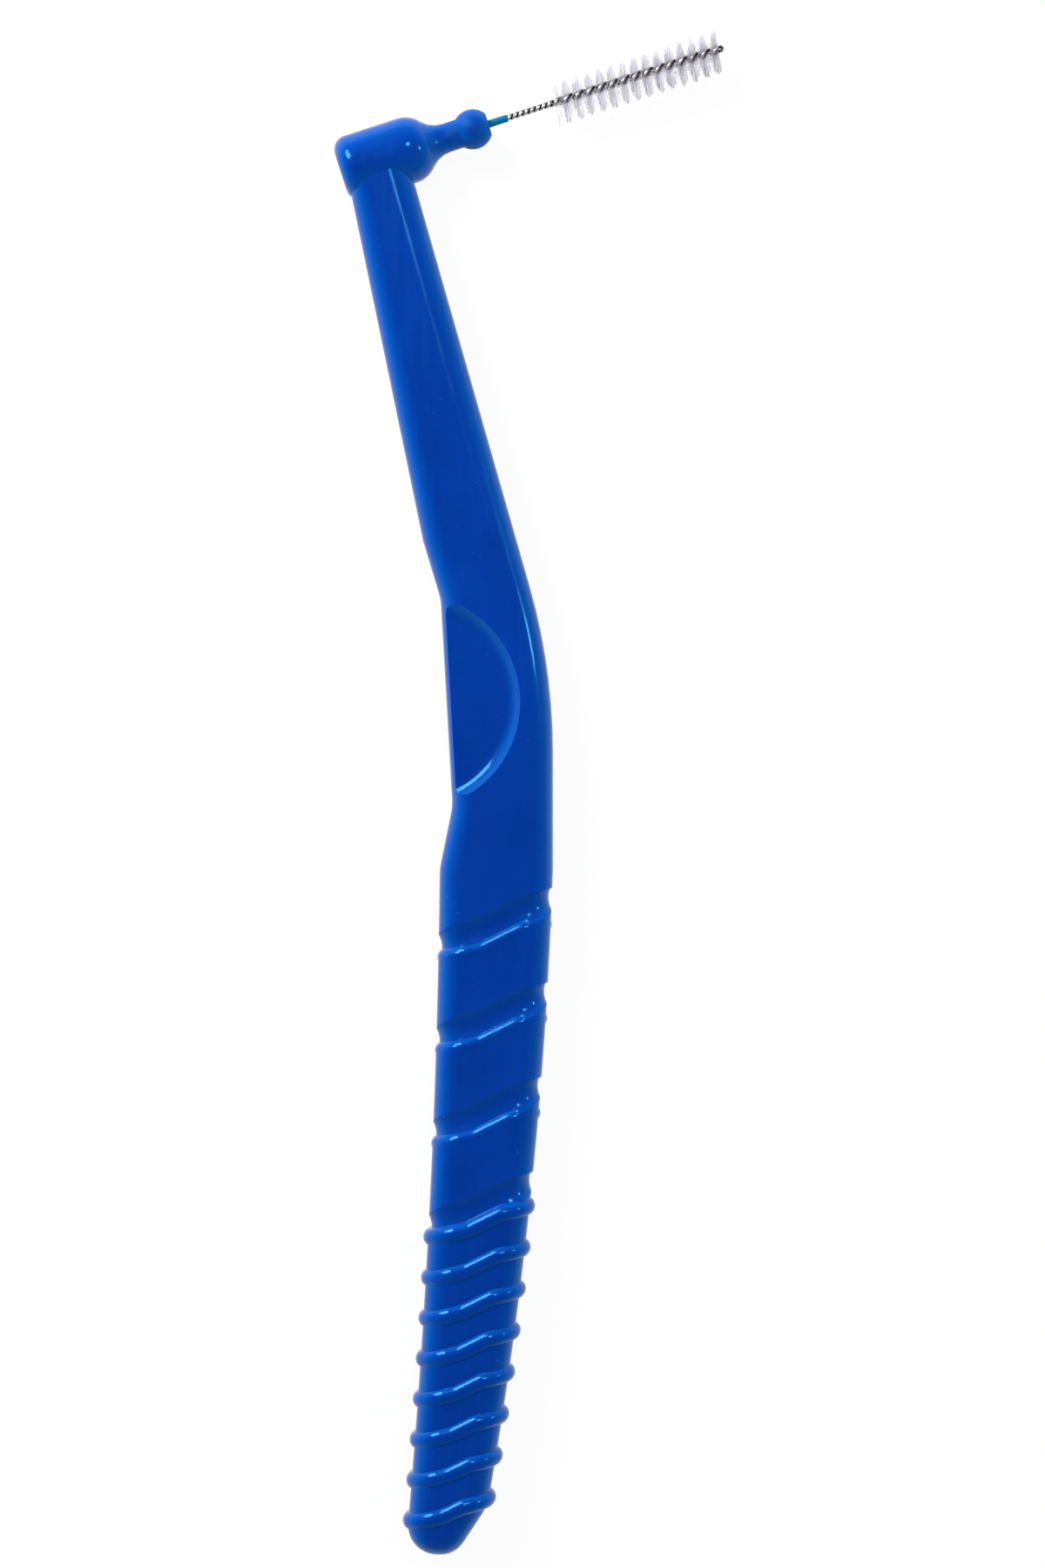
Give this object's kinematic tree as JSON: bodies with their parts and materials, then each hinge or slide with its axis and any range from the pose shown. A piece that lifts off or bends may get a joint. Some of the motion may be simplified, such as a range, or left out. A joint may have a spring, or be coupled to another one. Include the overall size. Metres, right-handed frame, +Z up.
{
  "type": "interdental brush",
  "caption": "Angled interdental brush: long ribbed handle with a thumb recess, slim neck and bottle-shaped head, and a tufted twisted-wire brush set across its end.",
  "frame": {"origin": "on the surface the brush lies on, below the middle of its bounding box, under the waist of the handle", "axes": "+Y along the handle from heel to head, +X the way the wire points, +Z up out of the front flat"},
  "size_m": [0.0344, 0.1346, 0.0059],
  "materials": {
    "handle_plastic": "polished mould finish, slightly wavy",
    "sleeve_plastic": "thin smooth coating",
    "wire_steel": "bright drawn wire",
    "bristle_nylon": "clear to milky nylon filament"
  },
  "bodies": {
    "handle": {"handle": "handle_plastic", "wire_sleeve": "sleeve_plastic", "wire_stem": "wire_steel"},
    "brush": {"wire_core": "wire_steel", "bristle_row_01": "bristle_nylon", "bristle_row_02": "bristle_nylon", "bristle_row_03": "bristle_nylon", "bristle_row_04": "bristle_nylon", "bristle_row_05": "bristle_nylon", "bristle_row_06": "bristle_nylon", "bristle_row_07": "bristle_nylon", "bristle_row_08": "bristle_nylon", "bristle_row_09": "bristle_nylon", "bristle_row_10": "bristle_nylon", "bristle_row_11": "bristle_nylon", "bristle_row_12": "bristle_nylon", "bristle_row_13": "bristle_nylon", "bristle_row_14": "bristle_nylon"}
  },
  "joints": [
    {"name": "wire_bend", "type": "hinge", "parent": "handle", "child": "brush", "pos_m": [-0.00064, 0.05984, 0.00296], "axis": [0, 0, 1], "range_deg": [-30, 30], "deforming": ["wire_stem", "wire_sleeve"]}
  ]
}
